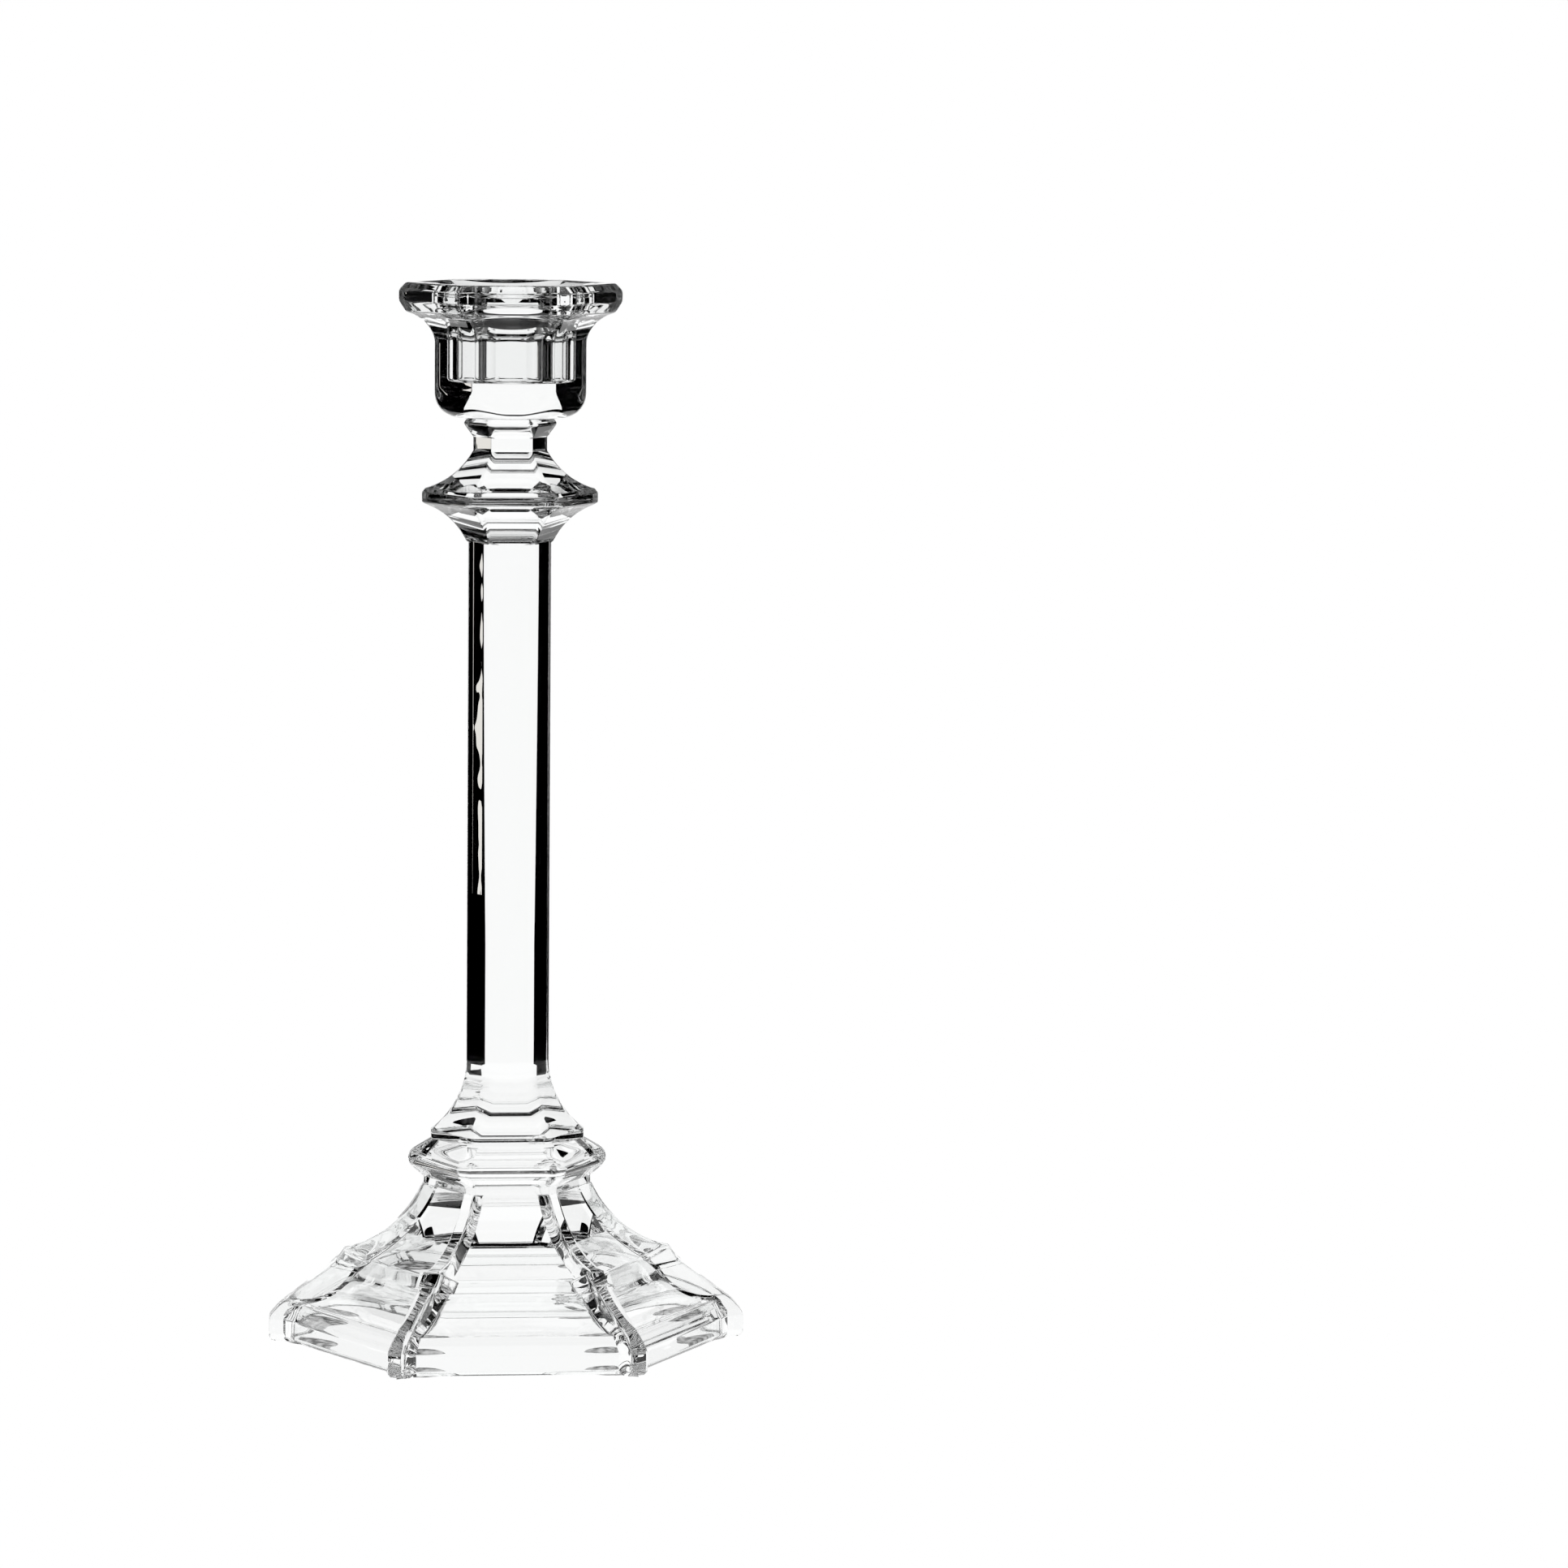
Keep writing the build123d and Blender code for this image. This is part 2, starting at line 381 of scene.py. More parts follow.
# ---- finishes ---------------------------------------------------------------------------
@dataclass(frozen=True)
class PressedGlass:
    """Clear pressed glass: fire-polished skin with the faint waves that a mould leaves."""

    name: str = "pressed_clear_glass"
    tint: tuple[float, float, float, float] = (0.985, 0.992, 0.99, 1.0)
    ior: float = 1.52
    polish: float = 0.0
    haze: float = 0.004
    wave_size: float = 9.0
    wave_detail: float = 1.0
    wave_height: float = 0.00002
    grain_size: float = 5.0
    grain_detail: float = 2.0
    hazy_grain: tuple[float, float] = (0.55, 0.8)

    def material(self) -> bpy.types.Material:
        """Make the glass.

        Returns:
            A material whose colour, index and transmission are plain values, and whose skin
            has procedural waves, a finer grain and traces of haze on Object coordinates.
        """
        made = bpy.data.materials.new(self.name)
        made.use_nodes = True
        nodes, links = made.node_tree.nodes, made.node_tree.links
        skin = nodes["Principled BSDF"]
        skin.inputs["Base Color"].default_value = self.tint
        skin.inputs["IOR"].default_value = self.ior
        skin.inputs["Transmission Weight"].default_value = 1.0
        where = nodes.new("ShaderNodeTexCoord")
        waves = nodes.new("ShaderNodeTexNoise")
        waves.inputs["Scale"].default_value = 1.0 / (self.wave_size * MM)
        waves.inputs["Detail"].default_value = self.wave_detail
        grain = nodes.new("ShaderNodeTexNoise")
        grain.inputs["Scale"].default_value = 1.0 / (self.grain_size * MM)
        grain.inputs["Detail"].default_value = self.grain_detail
        for texture in (waves, grain):
            links.new(where.outputs["Object"], texture.inputs["Vector"])
        swell = nodes.new("ShaderNodeBump")
        swell.inputs["Distance"].default_value = self.wave_height
        links.new(waves.outputs[0], swell.inputs["Height"])
        links.new(swell.outputs[0], skin.inputs["Normal"])
        haze = nodes.new("ShaderNodeMapRange")
        haze.inputs["From Min"].default_value, haze.inputs["From Max"].default_value = self.hazy_grain
        haze.inputs["To Min"].default_value = self.polish
        haze.inputs["To Max"].default_value = self.haze
        links.new(grain.outputs[0], haze.inputs["Value"])
        links.new(haze.outputs[0], skin.inputs["Roughness"])
        return made


@dataclass(frozen=True)
class FusedJoint:
    """The face where two sections were joined hot, which shows no boundary."""

    name: str = "fused_joint"

    def material(self) -> bpy.types.Material:
        """Make a face that lets all light straight through."""
        made = bpy.data.materials.new(self.name)
        made.use_nodes = True
        tree = made.node_tree
        tree.nodes.remove(tree.nodes["Principled BSDF"])
        clear = tree.nodes.new("ShaderNodeBsdfTransparent")
        tree.links.new(clear.outputs[0], tree.nodes["Material Output"].inputs["Surface"])
        return made


# ---- sections ---------------------------------------------------------------------------
@dataclass
class GlassShop:
    """What every section is made with: the two trees and the two finishes."""

    glass: bpy.types.Material
    joint: bpy.types.Material
    trees: dict[Shaping, bpy.types.NodeTree]

    def blow(self, name: str, node: str, sheet: Sheet, shaping: Shaping) -> bpy.types.Object:
        """Turn a sheet into a finished section that stands for its CAD node.

        Args:
            name: Name of the piece.
            node: CAD node that it stands for.
            sheet: One side of the section.
            shaping: How the tree finds the side's shape.

        Returns:
            The finished piece.
        """
        source = bpy.data.objects.new(f"{name}_side", sheet.mesh(f"{name}_side"))
        bpy.context.scene.collection.objects.link(source)
        modifier = source.modifiers.new("sides", "NODES")
        modifier.node_group = self.trees[shaping]
        sockets = {
            item.name: item.identifier
            for item in modifier.node_group.interface.items_tree
            if item.in_out == "INPUT"
        }
        modifier[sockets["Sides"]] = SIDES
        modifier[sockets["Weld"]] = WELD
        modifier[sockets["Glass"]] = self.glass
        modifier[sockets["Joint"]] = self.joint
        graph = bpy.context.evaluated_depsgraph_get()
        mesh = bpy.data.meshes.new_from_object(source.evaluated_get(graph))
        source.modifiers.remove(modifier)
        bpy.data.objects.remove(source)
        mesh.name = name
        for attribute in ("share", "joint"):
            mesh.attributes.remove(mesh.attributes[attribute])
        mesh.shade_smooth()
        mesh.set_sharp_from_angle(angle=CREASE)
        piece = bpy.data.objects.new(name, mesh)
        bpy.context.scene.collection.objects.link(piece)
        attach(piece, BODY)
        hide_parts(node)
        LOG.info("%s: %d faces for %s", name, len(mesh.polygons), node)
        return piece


def levels(node: str) -> tuple[float, float]:
    """Give a CAD node's lowest and highest level in millimetres."""
    low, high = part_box(node)
    return low.z / MM, high.z / MM


def ribbon(knots: list[Knot]) -> Sheet:
    """Lay an outline out as a sheet of angle, reach and level for the tree to bend round.

    Args:
        knots: The outline from the axis, up the outside and back to the axis.

    Returns:
        The sheet.
    """
    stations, across = sample(knots), columns()
    rows = [[(theta, s.reach * MM, s.level * MM) for theta in across] for s in stations]
    return Sheet(rows, [s.share for s in stations], [s.joint for s in stations])


@dataclass
class FootKnop:
    """Round bead between the foot and the stem."""

    foot_top: float = 20.1
    lower_edge: float = 23.1
    widest: float = 23.8
    upper_edge: float = 22.9
    stem_skirt: float = 18.4
    lower_rise: float = 2.5
    band_low: float = 3.8
    band_high: float = 5.4
    upper_rise: float = 6.7
    edge_round: float = 1.6
    band_round: float = 1.2
    share: float = 0.885
    top_share: float = 0.89

    def knots(self) -> list[Knot]:
        """Give the bead's outline.

        Returns:
            Knots from the axis, up the outside and back to the axis.
        """
        base, top = levels("foot_knop")
        return [
            Knot(0, base, self.share, steps=8, joint=True),
            Knot(self.foot_top, base, self.share),
            Knot(self.lower_edge, base + self.lower_rise, self.share, self.edge_round),
            Knot(self.widest, base + self.band_low, self.share, self.band_round),
            Knot(self.widest, base + self.band_high, self.share, self.band_round),
            Knot(self.upper_edge, base + self.upper_rise, self.share, self.edge_round, steps=8),
            Knot(self.stem_skirt, top, self.top_share, steps=8, joint=True),
            Knot(0, top, self.top_share),
        ]

    def build(self, shop: GlassShop) -> bpy.types.Object:
        """Make the bead."""
        sheet = ribbon(self.knots())
        return shop.blow("foot_knop_glass", "foot_knop", sheet, Shaping.BLUNT_HEXAGON)


@dataclass
class Stem:
    """Tall straight stem that flares into a skirt at its foot."""

    skirt: float = 18.4
    skirt_share: float = 0.89
    skirt_height: float = 2.2
    column: float = 9.9
    column_share: float = 0.93
    flare_height: float = 19.0
    flare_steps: int = 40
    column_steps: int = 24

    def flare(self, base: float) -> list[Knot]:
        """Give the flare, an arc that ends upright in the column.

        Args:
            base: Level of the stem's foot.

        Returns:
            Close knots from the skirt up to the column.
        """
        run = self.skirt - self.column
        rise = self.flare_height - self.skirt_height
        radius = (run * run + rise * rise) / (2.0 * run)
        sweep = math.asin(rise / radius)
        knots = []
        for step in range(self.flare_steps + 1):
            part = step / self.flare_steps
            angle = sweep * (1.0 - part)
            share = self.skirt_share + (self.column_share - self.skirt_share) * part
            reach = self.column + radius * (1.0 - math.cos(angle))
            level = base + self.flare_height - radius * math.sin(angle)
            knots.append(Knot(reach, level, share, steps=1))
        return knots

    def knots(self) -> list[Knot]:
        """Give the stem's outline.

        Returns:
            Knots from the axis, up the outside and back to the axis.
        """
        base, top = levels("stem")
        flare = self.flare(base)
        column = flare.pop()
        return [
            Knot(0, base, self.skirt_share, steps=8, joint=True),
            Knot(self.skirt, base, self.skirt_share, steps=2),
            *flare,
            Knot(column.reach, column.level, self.column_share, steps=self.column_steps),
            Knot(self.column, top, self.column_share, steps=8, joint=True),
            Knot(0, top, self.column_share),
        ]

    def build(self, shop: GlassShop) -> bpy.types.Object:
        """Make the stem."""
        return shop.blow("stem_glass", "stem", ribbon(self.knots()), Shaping.BLUNT_HEXAGON)


@dataclass
class StemKnop:
    """Knop above the stem: two coves that meet at a bevelled upright band."""

    stem: float = 9.9
    stem_share: float = 0.93
    share: float = 0.885
    neck: float = 8.8
    neck_share: float = 0.89
    edge: float = 20.2
    band: float = 21.0
    band_low: float = 9.6
    band_high: float = 11.9
    bevel: float = 1.0
    bevel_round: float = 0.3
    shoulder_out: float = 0.5
    shoulder_up: float = 0.3
    shoulder_round: float = 0.2
    lower_cove: float = 1.3
    upper_cove: float = 1.5
    cove_round: float = 0.4
    cove_steps: int = 24

    def knots(self) -> list[Knot]:
        """Give the knop's outline.

        Returns:
            Knots from the axis, up the outside and back to the axis.
        """
        base, top = levels("stem_knop")
        edge_low, edge_high = base + self.band_low, base + self.band_high
        out, shoulder, share = self.stem + self.shoulder_out, base + self.shoulder_up, self.share
        coves = self.cove_steps
        return [
            Knot(0, base, self.stem_share, steps=8, joint=True),
            Knot(self.stem, base, self.stem_share, steps=2),
            Knot(out, shoulder, share, self.shoulder_round, -self.lower_cove, coves),
            Knot(self.edge, edge_low - self.bevel / 2, share, self.bevel_round, steps=3),
            Knot(self.band, edge_low, share, self.bevel_round, steps=4),
            Knot(self.band, edge_high, share, self.bevel_round, steps=3),
            Knot(self.edge, edge_high + self.bevel, share, self.cove_round, -self.upper_cove, coves),
            Knot(self.neck, top, self.neck_share, steps=8, joint=True),
            Knot(0, top, self.neck_share),
        ]

    def build(self, shop: GlassShop) -> bpy.types.Object:
        """Make the knop."""
        sheet = ribbon(self.knots())
        return shop.blow("stem_knop_glass", "stem_knop", sheet, Shaping.BLUNT_HEXAGON)


@dataclass
class Neck:
    """Short straight neck under the wafer."""

    reach: float = 8.8
    share: float = 0.89

    def build(self, shop: GlassShop) -> bpy.types.Object:
        """Make the neck."""
        base, top = levels("neck")
        knots = [
            Knot(0, base, self.share, steps=8, joint=True),
            Knot(self.reach, base, self.share, steps=6),
            Knot(self.reach, top, self.share, steps=8, joint=True),
            Knot(0, top, self.share),
        ]
        return shop.blow("neck_glass", "neck", ribbon(knots), Shaping.BLUNT_HEXAGON)


@dataclass
class Wafer:
    """Thin wafer of glass that carries the cup."""

    neck: float = 8.8
    widest: float = 11.0
    top: float = 9.9
    share: float = 0.89
    edge_low: float = 3.0
    edge_high: float = 3.6
    edge_round: float = 0.4
    shoulder: float = 0.2

    def build(self, shop: GlassShop) -> bpy.types.Object:
        """Make the wafer."""
        base, top = levels("wafer")
        knots = [
            Knot(0, base, self.share, steps=8, joint=True),
            Knot(self.neck, base, self.share, steps=2),
            Knot(self.neck + self.shoulder, base + self.shoulder, self.share, self.shoulder),
            Knot(self.widest, base + self.edge_low, self.share, self.edge_round, steps=4),
            Knot(self.widest, base + self.edge_high, self.share, self.edge_round),
            Knot(self.top, top, self.share, steps=8, joint=True),
            Knot(0, top, self.share),
        ]
        return shop.blow("wafer_glass", "wafer", ribbon(knots), Shaping.BLUNT_HEXAGON)


@dataclass
class CandleCup:
    """Six-sided cup with a round socket, a thick flared rim and a shallow wax dish."""

    wafer: float = 9.9
    wafer_share: float = 0.89
    share: float = 0.885
    underside: float = 13.4
    wall: float = 18.05
    bowl_height: float = 6.3
    bowl_bulge: float = 1.5
    lip_height: float = 13.2
    lip_sag: float = 1.2
    lip_edge: float = 24.9
    lip_rise: float = 7.0
    rim: float = 26.6
    rim_low: float = 4.4
    rim_high: float = 1.8
    rim_flat: float = 22.5
    rim_round: float = 0.6
    dish: float = 20.4
    dish_drop: float = 0.15
    dish_swell: float = 0.2
    dish_foot: float = 12.0
    dish_depth: float = 2.3
    socket: float = 11.25
    socket_lip: float = 0.7
    socket_round: float = 0.4
    socket_floor: float = 8.4
    floor_bevel_in: float = 0.6
    floor_bevel_up: float = 0.5

    def knots(self) -> list[Knot]:
        """Give the cup's outline.

        Returns:
            Knots from the axis, up the outside, down into the socket and back to the axis.
        """
        base, top = levels("candle_cup")
        share, floor = self.share, base + self.socket_floor
        rounded, bored = self.rim_round, self.socket_round
        mouth = top - self.dish_depth
        return [
            Knot(0, base, self.wafer_share, steps=8, joint=True),
            Knot(self.wafer, base, self.wafer_share, steps=4),
            Knot(self.underside, base, 1.0, 0.7, self.bowl_bulge, 16),
            Knot(self.wall, base + self.bowl_height, share, 0.8, steps=10),
            Knot(self.wall, top - self.lip_height, share, 1.2, -self.lip_sag, 14),
            Knot(self.lip_edge, top - self.lip_rise, share, 0.5, steps=3),
            Knot(self.rim, top - self.rim_low, share, rounded, steps=4),
            Knot(self.rim, top - self.rim_high, share, rounded, steps=3),
            Knot(self.lip_edge, top, share, rounded, steps=4),
            Knot(self.rim_flat, top, share, 0.5, steps=5),
            Knot(self.dish, top - self.dish_drop, 1.0, rounded, -self.dish_swell, 10),
            Knot(self.dish_foot, mouth, 1.0, bored, steps=3),
            Knot(self.socket, mouth - self.socket_lip, 1.0, bored, steps=20),
            Knot(self.socket, floor + self.floor_bevel_up, 1.0, bored, steps=3),
            Knot(self.socket - self.floor_bevel_in, floor, 1.0, 0.3, steps=10),
            Knot(0, floor, 1.0),
        ]

    def build(self, shop: GlassShop) -> bpy.types.Object:
        """Make the cup."""
        sheet = ribbon(self.knots())
        return shop.blow("candle_cup_glass", "candle_cup", sheet, Shaping.BLUNT_HEXAGON)


@dataclass(frozen=True)
class FootRow:
    """A row across a side of the foot: where its rib and its panel stand, in millimetres."""

    rib: Station
    panel: Station
    half_width: float


@dataclass
class Foot:
    """Two-tiered foot with six ribs, coved panels between them and a hollow underneath."""

    top: float = 20.1
    top_share: float = 0.885
    collar: float = 1.7
    hollow_share: float = 0.875
    hollow_depth: float = 24.8
    hollow_ceiling: float = 20.3
    hollow_waist: float = 27.3
    hollow_waist_level: float = 17.5
    hollow_shoulder: float = 36.0
    hollow_shoulder_level: float = 10.5
    hollow_mouth: float = 42.8
    hollow_wall_height: float = 6.6
    hollow_wall_lean: float = 0.5
    mouth_bevel: float = 0.5
    wall_run: float = 1.1
    wall_ease: float = 1.5
    rib_steps: tuple[float, ...] = (0.0, 0.4, 0.7, 0.88, 0.97)
    wall_steps: int = 9
    panel_steps: int = 12

    def rib_knots(self) -> list[Knot]:
        """Give a rib's outline from the table up, with its half width in place of a share."""
        return [
            Knot(56.2, 0.0, 1.9, steps=2),
            Knot(57.2, 1.0, 2.2, 0.4, steps=4),
            Knot(57.2, 5.8, 2.2, 1.2, steps=3),
            Knot(54.6, 8.8, 1.95, 0.8, steps=14),
            Knot(42.7, 17.9, 1.95, steps=1),
            Knot(42.4, 18.2, 3.1, steps=1),
            Knot(41.4, 19.0, 3.1, 0.3, steps=4),
            Knot(39.4, 22.0, 3.1, 0.2, steps=2),
            Knot(39.0, 22.2, 1.4, 0.0, -2.8, 26),
            Knot(20.6, 37.2, 1.15, 0.3, steps=2),
            Knot(20.1, 37.9, 1.15),
        ]

    def panel_knots(self) -> list[Knot]:
        """Give a panel's outline from the table up, as distances from the axis to its flat."""
        return [
            Knot(46.8, 0.0, steps=2),
            Knot(47.8, 1.0, 1.0, 0.4, steps=4),
            Knot(47.8, 5.2, 1.0, 0.4, steps=3),
            Knot(45.2, 8.8, 1.0, 0.4, -2.2, 14),
            Knot(33.3, 16.6, 1.0, steps=1),
            Knot(33.1, 16.8, 1.0, steps=1),
            Knot(32.9, 17.0, 1.0, 0.2, steps=4),
            Knot(30.9, 19.2, 1.0, 0.2, steps=2),
            Knot(30.7, 19.5, 1.0, 0.0, -2.4, 26),
            Knot(15.6, 37.5, 1.0, 0.3, steps=2),
            Knot(17.8, 37.7, 1.0),
        ]

    def hollow_knots(self) -> list[Knot]:
        """Give the hollow's outline.

        Returns:
            Knots from the axis along the ceiling, down the slope and the wall to the table.
        """
        share, bevel = self.hollow_share, self.mouth_bevel
        mouth = self.hollow_mouth / share
        return [
            Knot(0, self.hollow_depth, share, steps=8),
            Knot(self.hollow_ceiling / share, self.hollow_depth, share, steps=8),
            Knot(self.hollow_waist / share, self.hollow_waist_level, share, 3.0, steps=8),
            Knot(self.hollow_shoulder / share, self.hollow_shoulder_level, share, 2.5, steps=8),
            Knot(mouth - self.hollow_wall_lean, self.hollow_wall_height, share, 2.0, steps=8),
            Knot(mouth, bevel, share, 0.3, steps=2),
            Knot(mouth + bevel, 0.0, share, 0.2, steps=2),
            Knot(mouth + 2.0 * bevel, 0.0, share),
        ]

    def crown_knots(self) -> list[Knot]:
        """Give the outline of the collar that carries the bead, and of the joint on it.

        Returns:
            Knots up the collar and in to the axis.
        """
        height = levels("foot")[1]
        return [
            Knot(self.top, height - self.collar, self.top_share, steps=4),
            Knot(self.top, height, self.top_share, steps=8, joint=True),
            Knot(0, height, self.top_share),
        ]

    def ribbed_rows(self) -> list[FootRow]:
        """Match the rib's and the panel's outlines row by row."""
        ribs, panels = sample(self.rib_knots()), sample(self.panel_knots())
        return [FootRow(rib, panel, rib.share) for rib, panel in zip(ribs, panels, strict=True)]

    def across(self, row: FootRow) -> list[tuple[float, float, float]]:
        """Place the points from a corner to the middle of a side on a ribbed row.

        Args:
            row: The row.

        Returns:
            Points as distance along the corner's direction, distance aside, and level.
        """
        flat, width = row.panel.reach, row.half_width
        edge = width + self.wall_run
        points = []
        for part in self.rib_steps:
            points.append((row.rib.reach, width * part, row.rib.level))
        for step in range(1, self.wall_steps + 1):
            part = step / self.wall_steps
            ease = part**self.wall_ease
            aside = width + self.wall_run * part
            panel = flat / SHARP_SHARE - aside * math.tan(HALF_SIDE)
            reach = row.rib.reach + (panel - row.rib.reach) * ease
            level = row.rib.level + (row.panel.level - row.rib.level) * ease
            points.append((reach, aside, level))
        for step in range(1, self.panel_steps + 1):
            aside = edge + (flat / 2.0 - edge) * step / self.panel_steps
            panel = flat / SHARP_SHARE - aside * math.tan(HALF_SIDE)
            points.append((panel, aside, row.panel.level))
        return points

    def plain(
        self, station: Station, like: list[tuple[float, float, float]]
    ) -> list[tuple[float, float, float]]:
        """Place a row on the blunt hexagon, with its points at the angles of a ribbed row.

        Args:
            station: Reach, level and share of the row.
            like: Points of the ribbed row.

        Returns:
            Points as in across().
        """
        points = []
        for reach, aside, _ in like:
            alpha = min(math.atan2(aside, reach), HALF_SIDE)
            radius = blunt_radius(station.reach, station.share, HALF_SIDE - alpha)
            points.append((radius * math.cos(alpha), radius * math.sin(alpha), station.level))
        return points

    def sheet(self) -> Sheet:
        """Lay out one side of the foot, from the hollow's ceiling to the joint on top.

        Returns:
            The sheet.
        """
        hollow, crown = sample(self.hollow_knots()), sample(self.crown_knots())
        ribbed = [self.across(row) for row in self.ribbed_rows()]
        halves = [self.plain(s, ribbed[0]) for s in hollow]
        halves += ribbed
        halves += [self.plain(s, ribbed[-1]) for s in crown]
        joints = [False] * (len(hollow) + len(ribbed)) + [s.joint for s in crown]
        return Sheet([self.mirrored(h) for h in halves], [1.0] * len(halves), joints)

    def mirrored(self, half: list[tuple[float, float, float]]) -> list[tuple[float, float, float]]:
        """Turn a row from corner to middle into the whole row of the side, in metres.

        Args:
            half: Points as in across().

        Returns:
            Points from the corner at 0 degrees to the corner at 60 degrees.
        """
        first = [Vector((reach, aside, level)) * MM for reach, aside, level in half]
        turn = Matrix.Rotation(2.0 * HALF_SIDE, 3, "Z")
        second = [turn @ Vector((p.x, -p.y, p.z)) for p in first[-2::-1]]
        return [tuple(p) for p in first + second]

    def build(self, shop: GlassShop) -> bpy.types.Object:
        """Make the foot."""
        return shop.blow("foot_glass", "foot", self.sheet(), Shaping.READY)


# ---- studio -----------------------------------------------------------------------------
WHITE = (1.0, 1.0, 1.0)
WARM = (1.0, 0.97, 0.92)

# right edges of the window strip and of the paper behind the stick, from the bottom up
WINDOW_EDGE = ((0.0005, -0.1), (0.0025, -0.05), (0.0045, 0.03), (0.010, 0.07), (0.013, 0.1))
PAPER_LOW = ((0.52, -0.38), (0.52, -0.17), (0.29, -0.13))
PAPER_HIGH = ((0.29, -0.06), (0.46, 0.06), (0.46, 0.38))
OVERHEAD_EDGE = ((0.3, -0.3), (0.3, 0.3))


@dataclass(frozen=True)
class Card:
    """A bright card that stands with the camera, as seen from the stick.

    azimuth is measured from straight behind the stick towards the camera's right, and
    elevation up from the level line, in degrees. The outline is the card's right edge from
    the bottom up, as distances aside and above its middle, and its left edge mirrors it.
    Distances are in metres.
    """

    name: str
    azimuth: float
    elevation: float
    distance: float
    outline: tuple[tuple[float, float], ...]
    colour: tuple[float, float, float]
    strength: float


@dataclass
class Studio:
    """Small bright floor with the ribs' shade on it, cards round the stick, and the camera."""

    floor_radius: float = 0.14
    floor_corners: int = 96
    floor_drop: float = 0.0004
    floor_strength: float = 1.0
    shade_reach: float = 0.0455
    shade_radius: float = 0.0078
    shade_tip: float = 0.0568
    shade_corners: int = 24
    shade_scale: float = 450.0
    shade_noise: tuple[float, float] = (0.35, 0.65)
    shade_light: tuple[float, float] = (0.05, 0.6)
    lens: float = 151.1
    sensor: float = 36.0
    clip: tuple[float, float] = (0.05, 20.0)
    distance: float = 1.5659
    height: float = 0.3122
    azimuth: float = -3.21
    yaw: float = 2.410
    pitch: float = 6.467
    roll: float = 0.526
    room_light: float = 0.0
    bounces: int = 32
    mirror_bounces: int = 16
    cards: tuple[Card, ...] = (
        Card("window", 39.5, 0.0, 0.62, WINDOW_EDGE, WARM, 0.9),
        Card("paper", 0.0, -6.0, 0.62, PAPER_LOW + PAPER_HIGH, WHITE, 1.05),
        Card("overhead", 0.0, 80.0, 0.7, OVERHEAD_EDGE, WHITE, 0.8),
    )

    def glow(self, name: str, colour: tuple[float, float, float], strength: float) -> bpy.types.Material:
        """Make a plain glowing paper.

        Args:
            name: Name of the material.
            colour: Its colour.
            strength: Its brightness.

        Returns:
            The material.
        """
        made = bpy.data.materials.new(name)
        made.use_nodes = True
        tree = made.node_tree
        tree.nodes.remove(tree.nodes["Principled BSDF"])
        light = tree.nodes.new("ShaderNodeEmission")
        light.inputs["Color"].default_value = (*colour, 1.0)
        light.inputs["Strength"].default_value = strength
        tree.links.new(light.outputs[0], tree.nodes["Material Output"].inputs["Surface"])
        return made

    def camera(self) -> bpy.types.Object:
        """Place the camera, which looks a little down at the stick and to its right.

        Returns:
            The camera.
        """
        angle = math.radians(self.azimuth)
        place = Vector((math.sin(angle) * self.distance, -math.cos(angle) * self.distance, self.height))
        level = Vector((-math.sin(angle), math.cos(angle), 0.0))
        level.rotate(Matrix.Rotation(-math.radians(self.yaw), 3, "Z"))
        pitch = math.radians(self.pitch)
        ahead = level * math.cos(pitch) - Vector((0.0, 0.0, math.sin(pitch)))
        right = ahead.cross(Vector((0.0, 0.0, 1.0))).normalized()
        up = right.cross(ahead)
        roll = math.radians(self.roll)
        across = right * math.cos(roll) + up * math.sin(roll)
        upright = up * math.cos(roll) - right * math.sin(roll)
        data = bpy.data.cameras.new("camera")
        data.lens, data.sensor_width = self.lens, self.sensor
        data.clip_start, data.clip_end = self.clip
        made = bpy.data.objects.new("camera", data)
        turn = Matrix((across, upright, -ahead)).transposed().to_4x4()
        made.matrix_world = Matrix.Translation(place) @ turn
        bpy.context.scene.collection.objects.link(made)
        bpy.context.scene.camera = made
        return made

    def hang(self, card: Card, camera: bpy.types.Object) -> bpy.types.Object:
        """Stand a card round the stick and fix it to the camera.

        Args:
            card: The card.
            camera: The camera that it goes with.

        Returns:
            The card's object.
        """
        centre = Vector((0.0, 0.0, sum(CAD_BOX, Vector()).z / 2.0))
        behind = centre - camera.matrix_world.translation
        behind.z = 0.0
        behind.normalize()
        turn = math.radians(card.azimuth)
        direction = Matrix.Rotation(-turn, 3, "Z") @ behind
        tilt = math.radians(card.elevation)
        direction = direction * math.cos(tilt) + Vector((0.0, 0.0, math.sin(tilt)))
        place = centre + direction * card.distance
        edge = [(x, y, 0.0) for x, y in card.outline]
        edge += [(-x, y, 0.0) for x, y in reversed(card.outline)]
        mesh = bpy.data.meshes.new(card.name)
        mesh.from_pydata(edge, [], [tuple(range(len(edge)))])
        mesh.materials.append(self.glow(card.name, card.colour, card.strength))
        made = bpy.data.objects.new(card.name, mesh)
        bpy.context.scene.collection.objects.link(made)
        facing = (place - centre).to_track_quat("-Z", "Y")
        made.parent = camera
        made.matrix_world = Matrix.Translation(place) @ facing.to_matrix().to_4x4()
        made.visible_camera = False
        made.visible_shadow = False
        return made

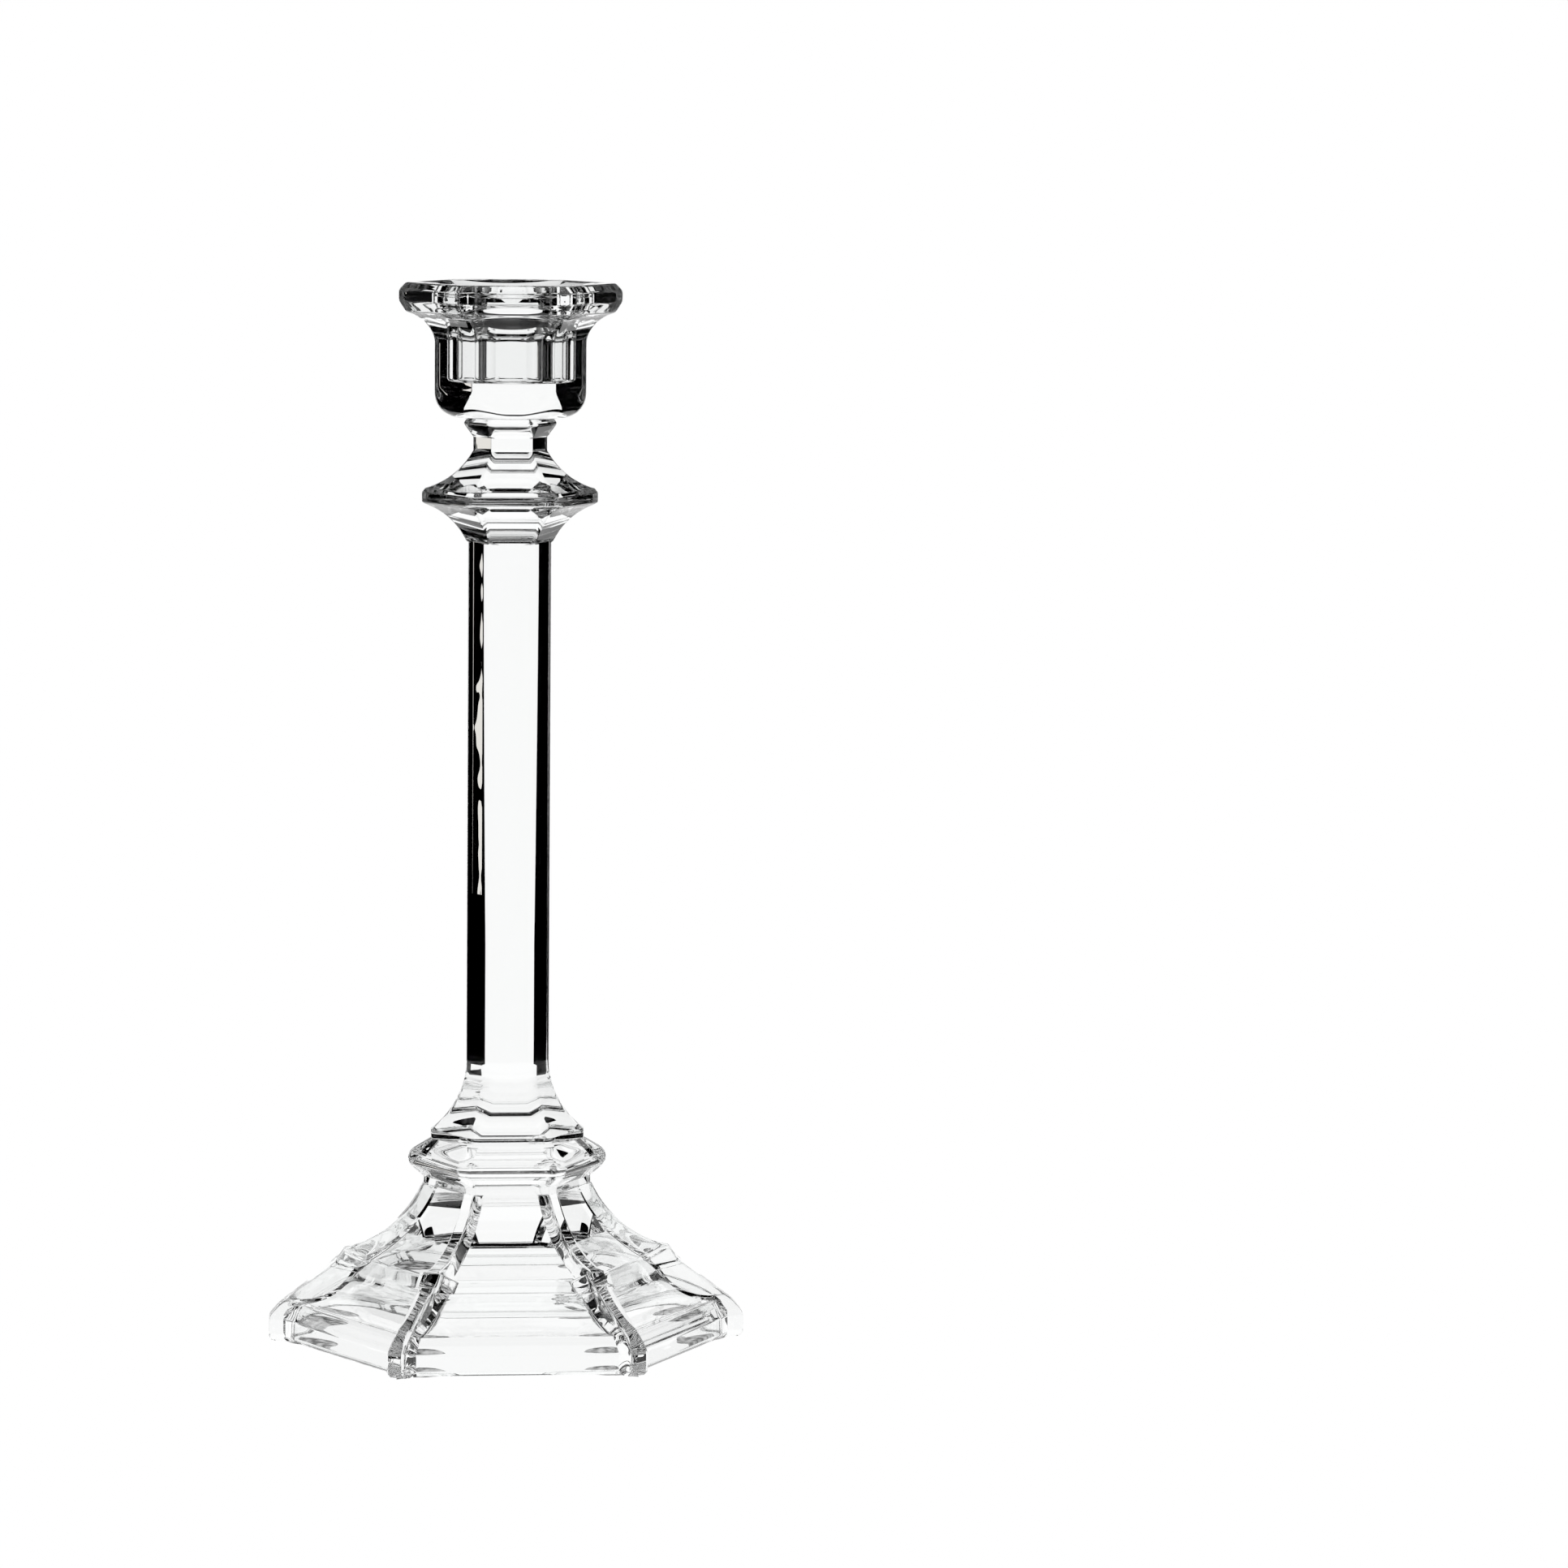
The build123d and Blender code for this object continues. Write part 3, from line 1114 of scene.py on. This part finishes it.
    def floor(self) -> bpy.types.Object:
        """Lay the small bright floor.

        Returns:
            The floor's object.
        """
        count = self.floor_corners
        angles = [math.tau * i / count for i in range(count)]
        rim = [
            (self.floor_radius * math.cos(a), self.floor_radius * math.sin(a), -self.floor_drop)
            for a in angles
        ]
        mesh = bpy.data.meshes.new("floor")
        mesh.from_pydata(rim, [], [tuple(range(count))])
        mesh.materials.append(self.glow("floor_paper", WHITE, self.floor_strength))
        made = bpy.data.objects.new("floor", mesh)
        bpy.context.scene.collection.objects.link(made)
        return made

    def shade(self) -> bpy.types.Object:
        """Lay the broken shade that the six rib feet throw on the paper under them.

        Returns:
            The shade's object.
        """
        count, corners, faces = self.shade_corners, [], []
        for rib in range(SIDES):
            turn = Matrix.Rotation(math.tau * rib / SIDES, 3, "Z")
            faces.append(tuple(range(len(corners), len(corners) + count)))
            for i in range(count):
                angle = math.tau * i / count
                out = self.shade_reach + self.shade_radius * math.cos(angle) if i else self.shade_tip
                aside = self.shade_radius * math.sin(angle)
                corners.append(tuple(turn @ Vector((out, aside, -self.floor_drop / 2.0))))
        mesh = bpy.data.meshes.new("rib_shade")
        mesh.from_pydata(corners, [], faces)
        material = self.glow("rib_shade", WHITE, 1.0)
        nodes, links = material.node_tree.nodes, material.node_tree.links
        place = nodes.new("ShaderNodeTexCoord")
        mottle = nodes.new("ShaderNodeTexNoise")
        mottle.inputs["Scale"].default_value = self.shade_scale
        light = nodes.new("ShaderNodeMapRange")
        light.inputs["From Min"].default_value, light.inputs["From Max"].default_value = self.shade_noise
        light.inputs["To Min"].default_value, light.inputs["To Max"].default_value = self.shade_light
        links.new(place.outputs["Object"], mottle.inputs["Vector"])
        links.new(mottle.outputs["Fac"], light.inputs["Value"])
        links.new(light.outputs["Result"], nodes["Emission"].inputs["Strength"])
        mesh.materials.append(material)
        made = bpy.data.objects.new("rib_shade", mesh)
        bpy.context.scene.collection.objects.link(made)
        return made

    def surroundings(self) -> None:
        """Make a dark room that only the camera itself sees as white."""
        scene = bpy.context.scene
        world = bpy.data.worlds.new("room")
        scene.world = world
        world.use_nodes = True
        nodes, links = world.node_tree.nodes, world.node_tree.links
        path = nodes.new("ShaderNodeLightPath")
        mix = nodes.new("ShaderNodeMixShader")
        room = nodes["Background"]
        room.inputs["Color"].default_value = (*[self.room_light] * 3, 1.0)
        wall = nodes.new("ShaderNodeBackground")
        wall.inputs["Color"].default_value = (*WHITE, 1.0)
        links.new(path.outputs["Is Camera Ray"], mix.inputs[0])
        links.new(room.outputs[0], mix.inputs[1])
        links.new(wall.outputs[0], mix.inputs[2])
        links.new(mix.outputs[0], nodes["World Output"].inputs["Surface"])
        scene.view_settings.view_transform = "Standard"
        # the glass's own colour and normals would leave specks where it bends the light most
        scene.cycles.denoising_input_passes = "RGB"
        scene.cycles.max_bounces = self.bounces
        scene.cycles.transmission_bounces = self.bounces
        scene.cycles.transparent_max_bounces = self.bounces
        scene.cycles.glossy_bounces = self.mirror_bounces

    def build(self) -> None:
        """Set the studio up."""
        camera = self.camera()
        bpy.context.view_layer.update()
        self.floor()
        self.shade()
        for card in self.cards:
            self.hang(card, camera)
            LOG.info("card %s", card.name)
        self.surroundings()


def main() -> None:
    """Build the glass section by section, then the studio."""
    logging.basicConfig(level=logging.INFO, format="%(name)s: %(message)s")
    trees = {shaping: SixthTree(shaping).build() for shaping in Shaping}
    shop = GlassShop(PressedGlass().material(), FusedJoint().material(), trees)
    for section in (Foot(), FootKnop(), Stem(), StemKnop(), Neck(), Wafer(), CandleCup()):
        section.build(shop)
    Studio().build()


if __name__ == "__main__":
    main()
